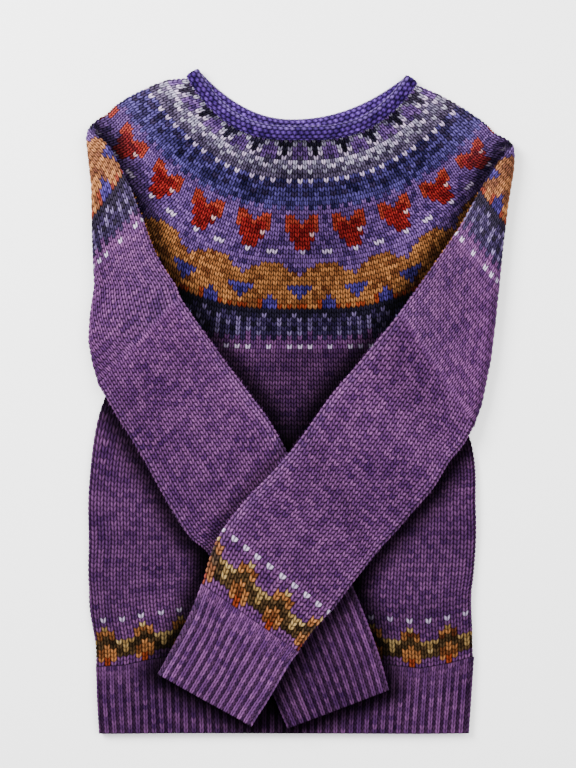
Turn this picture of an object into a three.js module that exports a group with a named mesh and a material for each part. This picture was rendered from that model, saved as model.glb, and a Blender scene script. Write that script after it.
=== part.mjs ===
// A wool jumper knitted in the round, laid flat on its back, with both sleeves folded over the front and crossed.
// Millimetres, +Z up, neck towards +Y, front face up. The origin is the middle of the underside.
import * as THREE from "three";

// Driving sizes
const LENGTH = 669; // highest point of the shoulder down to the edge of the hem
const WALL = 3; // thickness of the knitted cloth
const AIR = 2.2; // slack between two layers that lie on each other
const SEAM = 0.3; // gap between neighbouring pieces
const SIDE_GAP = 0.2; // half the gap between the front and the back of the yoke at the shoulders
const REST = 0.4; // gap under a layer that lies on another
const FOLD_RADIUS = 5.2; // middle of the sleeve where it folds back over the front
const BAND_WIDTH = 15; // rolled neckband, across
const BAND_HALF_HEIGHT = 3;
const RIB_PITCH = 8.2; // one knit and one purl column, drawn together
const RIB_RISE = 1.2;
const CROWN = 1; // rise of a sleeve's upper layer along its middle

// Places worked out from them
const HALF = WALL / 2;
const LAYER = (WALL + AIR) / 2; // from the middle of a flat tube to the middle of its walls
const MIDDLE = HALF + LAYER; // height of a flat tube's middle above the surface
const FRONT_TOP = 2 * MIDDLE; // upper face of the front
const SHIFT = { across: 0.15, down: 1.55 }; // brings the origin to the middle of the finished part

// Resolution
const FRONT_STEPS = 22;
const BACK_STEPS = 12;
const CURL_STEPS = 3; // across a quarter turn at a side
const ARMHOLE_STEPS = 8;
const SLEEVE_STEPS = { lowerSteps: ARMHOLE_STEPS, upperSteps: ARMHOLE_STEPS };
const SLEEVE_ROWS = 17;
const FOLD_ROWS = 5;
const CUFF_ROWS = 3;
const COLUMNS_PER_RIB = 3;

// A short table as a list of rows with named columns.
function table(columns, ...rows) {
  return rows.map((row) =>
    Object.fromEntries(columns.map((name, i) => [name, row[i]])),
  );
}

// Rounds of the body, from the hem up. Across is from the centre line, down from the shoulder.
const bodyRounds = table(
  ["centreDown", "leftAcross", "leftDown", "rightAcross", "rightDown"],
  [599, -205, 598, 174, 598],
  [576, -206, 576, 174, 576],
  [536, -212, 536, 173, 536],
  [476, -213, 476, 177, 476],
  [416, -212, 416, 176.5, 416],
  [372, -208, 376, 175.5, 388],
  [340, -203.5, 346, 174, 376],
  [326, -199.5, 336, 171, 369],
  [316, -193, 327.5, 166.5, 364],
  [312, -191.2, 321, 164.6, 362],
);
const hemRounds = table(
  ["centreDown", "leftAcross", "leftDown", "rightAcross", "rightDown"],
  [669, -201, 669, 169, 669],
  [599.3, -205, 598.3, 174, 598.3],
);

// Rounds of the yoke from the underarm to the top of each fold. A higher bend turns up later at the ends.
const yokeRounds = table(
  ["centreDown", "leftDown", "rightDown", "bend"],
  [311.3, 320, 360, 3],
  [296, 268, 290, 3.6],
  [282, 200, 220, 4],
  [248, 166, 172, 2.9],
  [221, 118, 130, 2.6],
  [194, 62, 80, 2.5],
);
// Rounds that end on the shoulder line, up to the neckband.
const shoulderRounds = table(
  ["centreDown", "leftAcross", "leftDown", "rightAcross", "rightDown", "bend"],
  [170, -196, 49, 198, 68, 2.4],
  [146, -183, 37.5, 187, 58, 2.4],
  [121, -160, 24.5, 166, 43, 2.4],
  [97, -136, 14.5, 141, 29, 2.5],
);
// The line that each sleeve folds back over, as the middle of the turn.
const foldLines = {
  left: table(
    ["across", "down"],
    [-191.7, 320],
    [-199.5, 298],
    [-203, 276],
    [-201.5, 251],
    [-197, 221],
    [-199, 176],
    [-200, 121],
    [-204, 86],
    [-205.2, 73],
    [-202.5, 62],
  ),
  right: table(
    ["across", "down"],
    [165.5, 360],
    [173, 340],
    [182, 296],
    [187, 256],
    [191, 216],
    [195, 176],
    [200, 136],
    [205, 106],
    [206, 91],
    [204.5, 80],
  ),
};
// Sections of the sleeves after the fold, from edge to edge in plan, down to the cuff.
const sleeveSections = {
  left: table(
    ["shoulderAcross", "shoulderDown", "underAcross", "underDown"],
    [-194, 82, -190, 329],
    [-178, 112, -188.5, 334],
    [-161, 148, -186, 341],
    [-146, 190, -181, 350],
    [-125, 225, -174, 361],
    [-100, 258, -164, 380],
    [-75, 296, -151, 404],
    [-47, 331, -136, 433],
    [-22, 368, -120, 460],
    [-2, 400, -106, 476],
    [16, 434, -90, 489],
    [29, 466, -79, 505],
    [40, 496, -68, 527],
  ),
  right: table(
    ["shoulderAcross", "shoulderDown", "underAcross", "underDown"],
    [198, 96, 164, 372],
    [182, 122, 162, 378],
    [165, 149, 158, 387],
    [147, 181, 152, 395],
    [125, 211, 143, 409],
    [98, 250, 130, 432],
    [68, 285, 113, 449],
    [38, 321, 92, 473],
    [6, 364, 69, 498],
    [-26, 403, 47, 524],
    [-57, 437, 28, 549],
    [-88, 484, 14, 564],
    [-97, 516, -1, 584],
  ),
};
const cuffSections = {
  left: table(
    ["shoulderAcross", "shoulderDown", "underAcross", "underDown"],
    [40.1, 496.3, -67.9, 527.3],
    [53, 522, -53, 562],
    [67, 556, -40, 598],
    [79, 591, -26, 632],
    [88, 624, -12, 662],
  ),
  right: table(
    ["shoulderAcross", "shoulderDown", "underAcross", "underDown"],
    [-97.4, 516.6, -1.4, 584.6],
    [-108, 544, -12, 600],
    [-124, 576, -28, 627],
    [-142, 608, -48, 660],
  ),
};
// Middle line of the rolled neckband, front and back.
const neckArcs = {
  front: { centreAcross: 0, centreDown: 68, bend: 3 },
  back: { centreAcross: -8, centreDown: 60.5, bend: 2.1 },
};
const neckCorners = {
  left: { across: -106, down: 10 },
  right: { across: 110, down: 16.5 },
};

const mix = (a, b, t) => a + (b - a) * t;
const smooth = (t) => {
  const x = Math.min(1, Math.max(0, t));
  return x * x * (3 - 2 * x);
};
const spaced = (count, make) =>
  Array.from({ length: count }, (_, i) => make(i));

// A row of a table between its rows: straight, or on a smooth curve through them.
function rowAt(rows, share, curved = true) {
  const place = Math.min(1, Math.max(0, share)) * (rows.length - 1);
  const i = Math.min(rows.length - 2, Math.floor(place));
  const t = place - i;
  const [p0, p1, p2, p3] = [i - 1, i, i + 1, i + 2].map(
    (k) => rows[Math.min(rows.length - 1, Math.max(0, k))],
  );
  const value = (name) => {
    if (!curved) return mix(p1[name], p2[name], t);
    const [a, b] = [(p2[name] - p0[name]) / 2, (p3[name] - p1[name]) / 2];
    const d = p1[name] - p2[name];
    return p1[name] + t * (a + t * (-3 * d - 2 * a - b + t * (2 * d + a + b)));
  };
  return Object.fromEntries(
    Object.keys(p1).map((name) => [name, value(name)]),
  );
}

// The row of a table whose down is the one asked for.
function rowDown(rows, down) {
  const sorted = [...rows].sort((a, b) => a.down - b.down);
  const i = Math.max(
    1,
    sorted.findIndex((row) => row.down >= down),
  );
  const [a, b] = [sorted[i - 1], sorted[i]];
  return {
    across: mix(a.across, b.across, (down - a.down) / (b.down - a.down)),
    down,
  };
}

// A point of the part from a place in the tables and a height.
function point(across, down, height) {
  return new THREE.Vector3(
    across - SHIFT.across,
    LENGTH / 2 - down + SHIFT.down,
    height,
  );
}

// Where the fold line and the armhole edge of the yoke are sampled, from the underarm up.
const armholeDowns = (side) =>
  spaced(
    ARMHOLE_STEPS + 1,
    (i) => rowAt(yokeRounds, i / ARMHOLE_STEPS)[`${side}Down`],
  );

// The way from one point of a line to the next at place i, level with a smooth curve at the ends.
function tangent(line, i, ring) {
  const last = line.length - 1;
  const at = (k) => line[ring ? (k + line.length) % line.length : k];
  if (ring || (i > 0 && i < last)) return at(i + 1).clone().sub(at(i - 1));
  const inward = i === 0 ? 1 : -1;
  const [a, b, c] = [at(i), at(i + inward), at(i + 2 * inward) ?? at(i)];
  if (line.length < 3) return b.clone().sub(a).multiplyScalar(inward);
  return b
    .clone()
    .multiplyScalar(4)
    .addScaledVector(a, -3)
    .sub(c)
    .multiplyScalar(inward);
}

// A closed wall round a grid of points on the middle of the cloth. rise tells how proud an outer point stands.
function wall(grid, { ring, rise = () => 0 }) {
  const rows = grid.length;
  const columns = grid[0].length;
  const wrap = (j) =>
    ring ? (j + columns) % columns : Math.min(columns - 1, Math.max(0, j));
  const lines = spaced(columns, (j) => grid.map((row) => row[j]));
  const normal = (i, j) =>
    tangent(grid[i], j, ring)
      .cross(tangent(lines[j], i, false))
      .normalize();
  const outer = [];
  const inner = [];
  grid.forEach((row, i) =>
    row.forEach((middle, j) => {
      const out = normal(i, j);
      outer.push(middle.clone().addScaledVector(out, HALF + rise(i, j)));
      inner.push(middle.clone().addScaledVector(out, -HALF));
    }),
  );
  const index = [];
  const under = outer.length;
  const quad = (a, b, c, d) => index.push(a, b, c, a, c, d);
  const at = (i, j) => i * columns + wrap(j);
  const spans = ring ? columns : columns - 1;
  for (let j = 0; j < spans; j++) {
    for (let i = 0; i + 1 < rows; i++) {
      quad(at(i, j), at(i, j + 1), at(i + 1, j + 1), at(i + 1, j));
      quad(
        under + at(i, j + 1),
        under + at(i, j),
        under + at(i + 1, j),
        under + at(i + 1, j + 1),
      );
    }
    quad(under + at(0, j), under + at(0, j + 1), at(0, j + 1), at(0, j));
    const last = rows - 1;
    quad(
      at(last, j),
      at(last, j + 1),
      under + at(last, j + 1),
      under + at(last, j),
    );
  }
  if (!ring)
    for (let i = 0; i + 1 < rows; i++) {
      const [a, b] = [at(i, 0), at(i + 1, 0)];
      quad(a, b, under + b, under + a);
      const [c, d] = [at(i, columns - 1), at(i + 1, columns - 1)];
      quad(d, c, under + c, under + d);
    }
  return meshGeometry([...outer, ...inner], index);
}

function meshGeometry(points, index) {
  const geometry = new THREE.BufferGeometry().setFromPoints(points);
  geometry.setIndex(index);
  geometry.computeVertexNormals();
  return geometry;
}

// A round of the body or yoke in plan: across and down at a share of its width.
function roundAt(round, share) {
  const across = mix(round.leftAcross, round.rightAcross, share);
  const left = across < 0;
  const end = left ? round.leftAcross : round.rightAcross;
  const endDown = left ? round.leftDown : round.rightDown;
  const bend = round.bend ?? 3;
  const turn = Math.abs(across / end) ** bend;
  return { across, down: mix(round.centreDown, endDown, turn) };
}

// Points of a round, inset by the cloth's half thickness, as far as its side turns down to the middle.
function turnedSide(round, side, quarter, height, closed) {
  const share = side === "left" ? 0 : 1;
  const width = round.rightAcross - round.leftAcross;
  const angle = quarter * (Math.PI / 2);
  const inset = HALF + LAYER * (1 - Math.sin(angle));
  const open = (1 - quarter) * LAYER * (Math.PI / 2);
  const step = mix(open, inset, closed) / width;
  const place = roundAt(round, side === "left" ? share + step : share - step);
  const rise = mix(height, height * Math.cos(angle), closed);
  const gap = SIDE_GAP * Math.sign(height) * closed * Math.sin(angle);
  return point(place.across, place.down, MIDDLE + rise + gap);
}

// Body and hem

// One round of a flat tube: over the front, round one side, back underneath and round the other side.
function tubeRound(round, frontSteps, backSteps) {
  const quarters = spaced(CURL_STEPS, (i) => i / CURL_STEPS);
  const flat = (steps, height, from, to) => {
    const width = round.rightAcross - round.leftAcross;
    const inset = (HALF + LAYER) / width;
    return spaced(steps - 1, (i) => {
      const t = mix(from, to, (i + 1) / steps);
      const place = roundAt(round, mix(inset, 1 - inset, t));
      return point(place.across, place.down, height);
    });
  };
  const side = (name, quarter, height) => {
    const place = turnedSide(round, name, quarter, height, 1);
    if (quarter === 1) place.z = MIDDLE;
    return place;
  };
  return [
    side("left", 0, LAYER),
    ...flat(frontSteps, MIDDLE + LAYER, 0, 1),
    ...quarters.map((q) => side("right", q, LAYER)),
    side("right", 1, LAYER),
    ...quarters.map((q) => side("right", q, -LAYER)).reverse(),
    ...flat(backSteps, MIDDLE - LAYER, 1, 0),
    ...quarters.map((q) => side("left", q, -LAYER)),
    side("left", 1, LAYER),
    ...quarters
      .slice(1)
      .map((q) => side("left", q, LAYER))
      .reverse(),
  ];
}

function body() {
  return wall(
    bodyRounds.map((round) => tubeRound(round, FRONT_STEPS, BACK_STEPS)),
    { ring: true },
  );
}

// Ribs stand up on the front of the hem, where it doesn't rest on the surface.
function hemRib() {
  const width = hemRounds[0].rightAcross - hemRounds[0].leftAcross;
  const columns = Math.round(width / RIB_PITCH) * COLUMNS_PER_RIB;
  const raised = (i, j) =>
    j > 0 && j < columns && j % COLUMNS_PER_RIB ? RIB_RISE : 0;
  return wall(
    hemRounds.map((round) => tubeRound(round, columns, BACK_STEPS)),
    { ring: true, rise: raised },
  );
}

// Yoke

// The middle line of the neckband: t runs from the left corner to the right one.
function neckLine(arc, t) {
  const across = mix(neckCorners.left.across, neckCorners.right.across, t);
  const corner =
    across < arc.centreAcross ? neckCorners.left : neckCorners.right;
  const turn =
    Math.abs(
      (across - arc.centreAcross) / (corner.across - arc.centreAcross),
    ) ** arc.bend;
  return { across, down: mix(arc.centreDown, corner.down, turn) };
}

// The way square to the neckband, towards the body, at t.
function neckOutward(arc, t) {
  const step = 0.004;
  const a = neckLine(arc, t - step);
  const b = neckLine(arc, t + step);
  const [dx, dy] = [b.across - a.across, b.down - a.down];
  const size = Math.hypot(dx, dy);
  return { across: -dy / size, down: dx / size };
}

// The yoke's edge along the neckband.
function neckEdge(arc, t) {
  const line = neckLine(arc, t);
  const out = neckOutward(arc, t);
  const reach = BAND_WIDTH / 2 + SEAM;
  return {
    across: line.across + out.across * reach,
    down: line.down + out.down * reach,
  };
}

// One half of the yoke, front or back, from the underarm round up to the neckband.
function yokeHalf(arc, face, steps) {
  const rounds = spaced(ARMHOLE_STEPS + 1, (i) => {
    const round = rowAt(yokeRounds, i / ARMHOLE_STEPS);
    const [left, right] = [
      rowDown(foldLines.left, round.leftDown),
      rowDown(foldLines.right, round.rightDown),
    ];
    return {
      ...round,
      leftAcross: left.across + SEAM,
      rightAcross: right.across - SEAM,
      closed: 0,
    };
  });
  const upper = shoulderRounds.map((round) => ({ ...round, closed: 1 }));
  const height = face * LAYER;
  const turnShares = spaced(CURL_STEPS + 1, (i) => 1 - i / CURL_STEPS);
  const grid = [...rounds, ...upper].map((round) => {
    const inset =
      mix(LAYER * (Math.PI / 2), HALF + LAYER, round.closed) /
      (round.rightAcross - round.leftAcross);
    const middle = spaced(steps - 1, (i) => {
      const place = roundAt(round, mix(inset, 1 - inset, (i + 1) / steps));
      return point(place.across, place.down, MIDDLE + height);
    });
    const turned = (side) =>
      turnShares.map((q) => turnedSide(round, side, q, height, round.closed));
    return [...turned("left"), ...middle, ...turned("right").reverse()];
  });
  grid.push(neckRow(arc, height, grid[0].length));
  return wall(face > 0 ? grid : grid.map((row) => [...row].reverse()), {
    ring: false,
  });
}

// The yoke's last row, just under the neckband's edge, with as many points as the other rows.
function neckRow(arc, height, count) {
  const ends = CURL_STEPS;
  return spaced(count, (j) => {
    const t = (j - ends) / (count - 1 - 2 * ends);
    const inside = Math.min(1, Math.max(0, t));
    const beyond = Math.max(0, -t, t - 1) * (count - 1 - 2 * ends);
    const angle = (beyond / ends) * (Math.PI / 2);
    const place = neckEdge(arc, mix(-0.015, 1.015, inside));
    const away = LAYER * Math.sin(angle) * (t < 0.5 ? -1 : 1);
    const gap = SIDE_GAP * Math.sign(height) * Math.sin(angle);
    return point(
      place.across + away,
      place.down,
      MIDDLE + height * Math.cos(angle) + gap,
    );
  });
}

// Neckband: a rolled edge that runs over the front of the neck and back behind it.
function neckband() {
  const arcSteps = 22;
  const turnSteps = 3;
  const sides = 10;
  const tiers = { front: MIDDLE + LAYER + 2.6, back: BAND_HALF_HEIGHT };
  const turnRadius = (tiers.front - tiers.back) / 2;
  const path = [];
  const addArc = (name, reversed) => {
    for (let i = 0; i <= arcSteps; i++) {
      const t = reversed ? 1 - i / arcSteps : i / arcSteps;
      const line = neckLine(neckArcs[name], t);
      path.push({
        at: point(line.across, line.down, tiers[name]),
        out: neckOutward(neckArcs[name], t),
        up: reversed ? -1 : 1,
      });
    }
  };
  const addTurn = (t, fromFront) => {
    const line = neckLine(neckArcs.front, t);
    const out = neckOutward(neckArcs.front, t);
    const end = t === 0 ? -1 : 1;
    for (let i = 1; i <= turnSteps; i++) {
      const angle = (i / (turnSteps + 1)) * Math.PI;
      const beyond = turnRadius * Math.sin(angle) * end;
      const drop = (fromFront ? 1 : -1) * turnRadius * Math.cos(angle);
      const middle = (tiers.front + tiers.back) / 2;
      path.push({
        at: point(
          line.across + out.down * beyond,
          line.down - out.across * beyond,
          middle + drop,
        ),
        out,
        up: (fromFront ? 1 : -1) * Math.cos(angle),
        lean: Math.sin(angle) * end,
      });
    }
  };
  addArc("front", false);
  addTurn(1, true);
  addArc("back", true);
  addTurn(0, false);
  const rings = path.map(({ at, out, up, lean = 0 }) => {
    const width = new THREE.Vector3(out.across, -out.down, 0);
    const thick = new THREE.Vector3(lean * out.down, lean * out.across, up);
    const squeeze = mix(1, 0.72, Math.abs(lean));
    return spaced(sides, (k) => {
      const angle = (k / sides) * 2 * Math.PI + Math.PI / sides;
      return at
        .clone()
        .addScaledVector(width, (Math.cos(angle) * BAND_WIDTH) / 2)
        .addScaledVector(
          thick,
          Math.sin(angle) * BAND_HALF_HEIGHT * squeeze,
        );
    });
  });
  const index = [];
  const at = (i, k) => (i % rings.length) * sides + (k % sides);
  for (let i = 0; i < rings.length; i++)
    for (let k = 0; k < sides; k++) {
      index.push(at(i, k), at(i + 1, k), at(i + 1, k + 1));
      index.push(at(i, k), at(i + 1, k + 1), at(i, k + 1));
    }
  return meshGeometry(rings.flat(), index);
}

// Sleeves and cuffs

// How far a place is outside the left sleeve's outline, in plan; below 0 is inside.
function outsideLeftSleeve(across, down) {
  const sections = [...sleeveSections.left, ...cuffSections.left.slice(1)];
  let nearest = Infinity;
  for (let i = 0; i + 1 < sections.length; i++)
    for (let part = 0; part < 4; part++) {
      const s = rowAt([sections[i], sections[i + 1]], part / 4, false);
      const [ex, ey] = [
        s.underAcross - s.shoulderAcross,
        s.underDown - s.shoulderDown,
      ];
      const size = Math.hypot(ex, ey);
      const along =
        ((across - s.shoulderAcross) * ex + (down - s.shoulderDown) * ey) /
        size;
      const square =
        ((across - s.shoulderAcross) * -ey + (down - s.shoulderDown) * ex) /
        size;
      const over = Math.max(0, -along, along - size);
      const inside = Math.min(along, size - along);
      const distance = over > 0 ? Math.hypot(over, square) : -inside;
      if (over > 0 || Math.abs(square) < 12)
        nearest = Math.min(nearest, over > 0 ? distance : distance);
    }
  return nearest;
}

// Height of the lower face of a sleeve over what it lies on.
const SLEEVE_HEIGHT = WALL * 2 + AIR + CROWN;
const AFTER_FOLD = 2 * (MIDDLE + FOLD_RADIUS) - FRONT_TOP; // lower face where the turn ends
const SETTLE = 45; // the way from the fold to where the sleeve lies down
const BRIDGE = 30; // the way in which the upper sleeve comes down beside the lower one
const BRIDGE_START = 10; // how far outside the lower sleeve that starts
const HEM_RAMP = { from: 530, to: 590 }; // where a cuff rises to clear the ribs under it
function lowerFace(side, across, down, fromFold) {
  const ramp = (down - HEM_RAMP.from) / (HEM_RAMP.to - HEM_RAMP.from);
  const settled = FRONT_TOP + REST + RIB_RISE * smooth(ramp);
  const lift = (AFTER_FOLD - settled) * (1 - smooth(fromFold / SETTLE));
  if (side === "left") return settled + lift;
  const outside = outsideLeftSleeve(across, down);
  const over = 1 - smooth((outside - BRIDGE_START) / BRIDGE);
  return settled + lift + (SLEEVE_HEIGHT + RIB_RISE + REST) * over;
}

// One round of a sleeve from its two walls' middle points at a share of the way from the shoulder edge.
function sleeveRound({ lowerSteps, upperSteps }, walls, endTurn) {
  const lower = spaced(lowerSteps + 1, (i) => walls(i / lowerSteps, 1));
  const upper = spaced(upperSteps + 1, (i) => walls(1 - i / upperSteps, -1));
  return [...lower, ...endTurn(1), ...upper, ...endTurn(0)];
}

// The rounds of a sleeve while it turns over the fold line.
function foldRounds(side) {
  const outward = side === "left" ? -1 : 1;
  const downs = armholeDowns(side).reverse();
  downs[ARMHOLE_STEPS] -= HALF + LAYER;
  const line = downs.map((down) => rowDown(foldLines[side], down));
  return spaced(FOLD_ROWS + 1, (i) => {
    const angle = (i / FOLD_ROWS) * Math.PI;
    const inward = { x: -outward * Math.sin(angle), z: Math.cos(angle) };
    const place = (spot, towards, beyond = 0) =>
      point(
        spot.across +
          outward * FOLD_RADIUS * Math.sin(angle) +
          inward.x * towards,
        spot.down + beyond,
        MIDDLE +
          FOLD_RADIUS * (1 - Math.cos(angle)) +
          inward.z * towards,
      );
    const walls = (share, towards) =>
      place(line[Math.round(share * ARMHOLE_STEPS)], towards * LAYER);
    const endTurn = (end) =>
      spaced(2 * CURL_STEPS - 1, (k) => {
        const turn = ((k + 1) / (2 * CURL_STEPS)) * Math.PI;
        const towards = Math.cos(turn) * (end ? 1 : -1) * LAYER;
        const beyond = Math.sin(turn) * LAYER * (end ? 1 : -1);
        return place(line[end ? ARMHOLE_STEPS : 0], towards, beyond);
      });
    return sleeveRound(SLEEVE_STEPS, walls, endTurn);
  });
}

// The round of a sleeve or cuff at one section, lying on what is under it.
function flatRound(side, section, steps, fromFold) {
  const e = {
    across: section.underAcross - section.shoulderAcross,
    down: section.underDown - section.shoulderDown,
  };
  const size = Math.hypot(e.across, e.down);
  const [ux, uy] = [e.across / size, e.down / size];
  const inset = HALF + LAYER;
  const spot = (along) => ({
    across: section.shoulderAcross + ux * along,
    down: section.shoulderDown + uy * along,
  });
  const middleOf = (along) => {
    const { across, down } = spot(Math.min(size, Math.max(0, along)));
    return lowerFace(side, across, down, fromFold) + HALF + LAYER;
  };
  const walls = (share, towards) => {
    const along = mix(inset, size - inset, share);
    const crown =
      towards < 0 ? CROWN * Math.sin(share * Math.PI) ** 1.4 : 0;
    const { across, down } = spot(along);
    return point(across, down, middleOf(along) - towards * LAYER + crown);
  };
  const endTurn = (end) =>
    spaced(2 * CURL_STEPS - 1, (k) => {
      const turn = ((k + 1) / (2 * CURL_STEPS)) * Math.PI;
      const along = end
        ? size - inset + Math.sin(turn) * LAYER
        : inset - Math.sin(turn) * LAYER;
      const { across, down } = spot(along);
      const base = middleOf(end ? size - inset : inset);
      const rise = Math.cos(turn) * (end ? -1 : 1) * LAYER;
      return point(across, down, base + rise);
    });
  return sleeveRound(steps, walls, endTurn);
}

// How far a section lies from the fold line.
const fromFoldAt = (share) => share * 480;

function sleeve(side) {
  const turned = foldRounds(side);
  const laid = spaced(SLEEVE_ROWS, (i) => {
    const share = i / (SLEEVE_ROWS - 1);
    return flatRound(
      side,
      rowAt(sleeveSections[side], share),
      SLEEVE_STEPS,
      fromFoldAt(share) + 12,
    );
  });
  const grid = [...turned, ...laid];
  return wall(side === "left" ? grid.map((row) => [...row].reverse()) : grid, {
    ring: true,
  });
}

// A cuff has ribs on its upper face; its underside rests flat.
function cuff(side) {
  const sections = cuffSections[side];
  const width = Math.hypot(
    sections[1].underAcross - sections[1].shoulderAcross,
    sections[1].underDown - sections[1].shoulderDown,
  );
  const upperSteps = Math.round(width / RIB_PITCH) * COLUMNS_PER_RIB;
  const steps = { lowerSteps: ARMHOLE_STEPS, upperSteps };
  const grid = spaced(CUFF_ROWS + 1, (i) =>
    flatRound(side, rowAt(sections, i / CUFF_ROWS), steps, fromFoldAt(1)),
  );
  const upperStart = steps.lowerSteps + 2 * CURL_STEPS;
  const flip = side === "left";
  const raised = (i, j) => {
    const onUpper = (flip ? grid[0].length - 1 - j : j) - upperStart;
    if (onUpper <= 0 || onUpper >= upperSteps) return 0;
    return onUpper % COLUMNS_PER_RIB ? RIB_RISE : 0;
  };
  return wall(flip ? grid.map((row) => [...row].reverse()) : grid, {
    ring: true,
    rise: raised,
  });
}

// The jumper

const wool = (color) =>
  new THREE.MeshStandardMaterial({ color, roughness: 0.95, metalness: 0 });
const colours = {
  violet: 0x6d4f7c,
  rib: 0x6a4d7c,
  patterned: 0x574468,
  band: 0x4a3a86,
};

const jumper = new THREE.Group();
function add(name, geometry, color) {
  const mesh = new THREE.Mesh(geometry, wool(color));
  mesh.name = name;
  jumper.add(mesh);
}
add("body", body(), colours.violet);
add("hem_rib", hemRib(), colours.rib);
add("yoke_front", yokeHalf(neckArcs.front, 1, FRONT_STEPS), colours.patterned);
add("yoke_back", yokeHalf(neckArcs.back, -1, FRONT_STEPS), colours.patterned);
add("neckband", neckband(), colours.band);
for (const side of ["left", "right"]) {
  add(`sleeve_${side}`, sleeve(side), colours.violet);
  add(`cuff_${side}`, cuff(side), colours.rib);
}

export default jumper;
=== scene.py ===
"""A hand-knitted wool jumper, laid flat on its back with both sleeves folded over the front and crossed.

Each piece of knitting is a closed thin wall whose outer face carries every stitch as a small V.
Places are written as on a paper pattern: millimetres across from the middle of the front, and
millimetres down from the highest point of the shoulder.
"""

import math
import bmesh  # noqa: E402
import bpy  # noqa: E402
import numpy as np  # noqa: E402
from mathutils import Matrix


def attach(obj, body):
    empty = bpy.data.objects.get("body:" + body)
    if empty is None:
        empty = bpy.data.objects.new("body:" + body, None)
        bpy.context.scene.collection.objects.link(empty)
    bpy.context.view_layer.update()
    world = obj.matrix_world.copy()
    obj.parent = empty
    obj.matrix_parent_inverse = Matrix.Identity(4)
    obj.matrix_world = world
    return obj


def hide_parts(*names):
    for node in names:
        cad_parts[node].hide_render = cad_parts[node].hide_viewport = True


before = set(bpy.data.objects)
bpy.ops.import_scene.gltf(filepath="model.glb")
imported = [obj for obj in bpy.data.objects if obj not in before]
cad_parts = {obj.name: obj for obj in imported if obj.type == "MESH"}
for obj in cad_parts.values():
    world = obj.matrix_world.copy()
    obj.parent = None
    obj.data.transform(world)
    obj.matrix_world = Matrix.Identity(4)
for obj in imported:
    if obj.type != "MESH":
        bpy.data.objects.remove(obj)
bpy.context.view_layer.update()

bl_info = {
    "name": "Fair Isle Jumper",
    "version": (1, 0, 0),
    "blender": (4, 5, 0),
    "location": "3D View > Sidebar > Jumper",
    "description": "Knits a jumper with a patterned round yoke, stitch by stitch",
    "category": "Object",
}

MM = 0.001
TAU = 2 * math.pi

# The flat tubes, in millimetres
WALL = 3.0
HALF = WALL / 2
TUBE_GAP = 2.2  # between the two walls of a flat tube
LAYER = (WALL + TUBE_GAP) / 2  # from the middle of a flat tube to the middle of its walls
INSET = HALF + LAYER  # how wide its round edge is
MIDDLE = INSET
FRONT_TOP = 2 * MIDDLE
FOLD_RADIUS = 5.2  # middle of a sleeve where it turns over the fold
FOLD_SKIN = FOLD_RADIUS + INSET
REST = 0.4  # between a sleeve and what it lies on
CROWN = 1.0  # of a sleeve along its middle
CROWN_SHAPE = 1.4  # higher is narrower
CROWN_GROWS = (50, 110)  # from the fold line
FRONT_LIE = 0.5  # half of how far the uneven front sinks
SLEEVE_LIE = 0.6  # the same for the sleeves
FLAP_SHIFT = 40.0  # the sleeves' uneven lie is moved from the front's by this
LENGTH = 669.0
ORIGIN = {"across": 0.15, "down": LENGTH / 2 + 1.55}

# How a folded sleeve comes down to the front, in millimetres
CREST = 6.0  # from the fold line out to where the sleeve starts to come down
SETTLING = 45.0  # how far it takes to lie flat
HEM_CLIMB = (530, 590)  # down the pattern, where it rises for the hem's ribs
CROSSING = (10, 40)  # outside the lower sleeve, where the upper one comes down from it

# The stitches: depths in millimetres, widths as shares of a stitch
HOLLOW_DEPTH = 1.15  # beside each leg of a stitch
GROOVE_DEPTH = 0.85  # share of that in the groove between a stitch's two legs
FIRST = 0.1  # a point below this is on the first line or column of a stitch
SLANT = 0.62  # how far a stitch's legs lean, in rows
STRAY = 0.3  # from the least to the most that stitches stray, in stitches and in rows
SIDEWAYS = (4, 7, 5)  # stitches and rows that stray alike, and a seed
UPWARDS = (6, 4, 6)
STRAY_START = 5.0  # rows until they stray up and down in full
RIB_RISE = 1.2  # of a knit column over the wall, and as much down to a purl one
ROW_GAP = 0.95  # how deep the rows are parted in the yoke and the sleeves
BODY_GAP = 0.7
RIB_GAP = 0.5
KNIT_RELIEF = 0.8  # of a knit column, as a share of stocking stitch's
PURL_EDGE = 0.4  # from the edges of a purl column up to its middle
PURL_GAP = 0.4
KNIT_SHARE = 0.62  # of the width of a knit and a purl column in a rib
RIB_START = (6.0, 0.4)  # rows until a rib has its full depth, and the share it starts with

# Light that reaches the wool, as a share
HOLLOW_LOSS = 0.85  # lost for each millimetre of depth between the stitches
RIB_LOSS = 0.88  # share of that which a rib loses
LEAST_LIGHT = 0.04
HOLE_LIGHT = 0.3  # in the holes where stitches meet
INNER_LIGHT = 0.6  # on the inside of the tubes
END_LIGHT = 0.55  # where two zones of knitting meet
# Right beside a folded sleeve, and the way from there to full light, in millimetres
BODY_CORNER = (0.12, 25.0)
SLEEVE_CORNER = (0.45, 14.0)
CUFF_CORNER = (0.25, 28.0)
CORNER_DEPTH = 3.5  # how far the deepest shade goes
SHADED_BELOW = {"left": FRONT_TOP + 1.5, "right": 2 * FRONT_TOP + 3.0}  # wool under a sleeve's top

# How fine the knitting is modelled
COLUMNS = 4  # across one stitch
LINES = 3  # along one stitch
INNER_ROWS = 3  # rows to one line of the inside
SAMPLES = 720  # round a tube before it gets its stitches
EDGE_POINTS = 8  # round a quarter of a flat tube's edge
PLAN_POINTS = 150  # along half a round of the yoke
BODY_POINTS = 260  # across a face of the body
SLEEVE_POINTS = 110


# Small helpers on numbers


def mix(a, b, t):
    return a + (b - a) * t


def smooth(t):
    t = np.clip(t, 0.0, 1.0)
    return t * t * (3 - 2 * t)


def between(value, start, end):
    """0 up to a start, 1 from an end on, and smooth in between."""
    return smooth((value - start) / (end - start))


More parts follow.
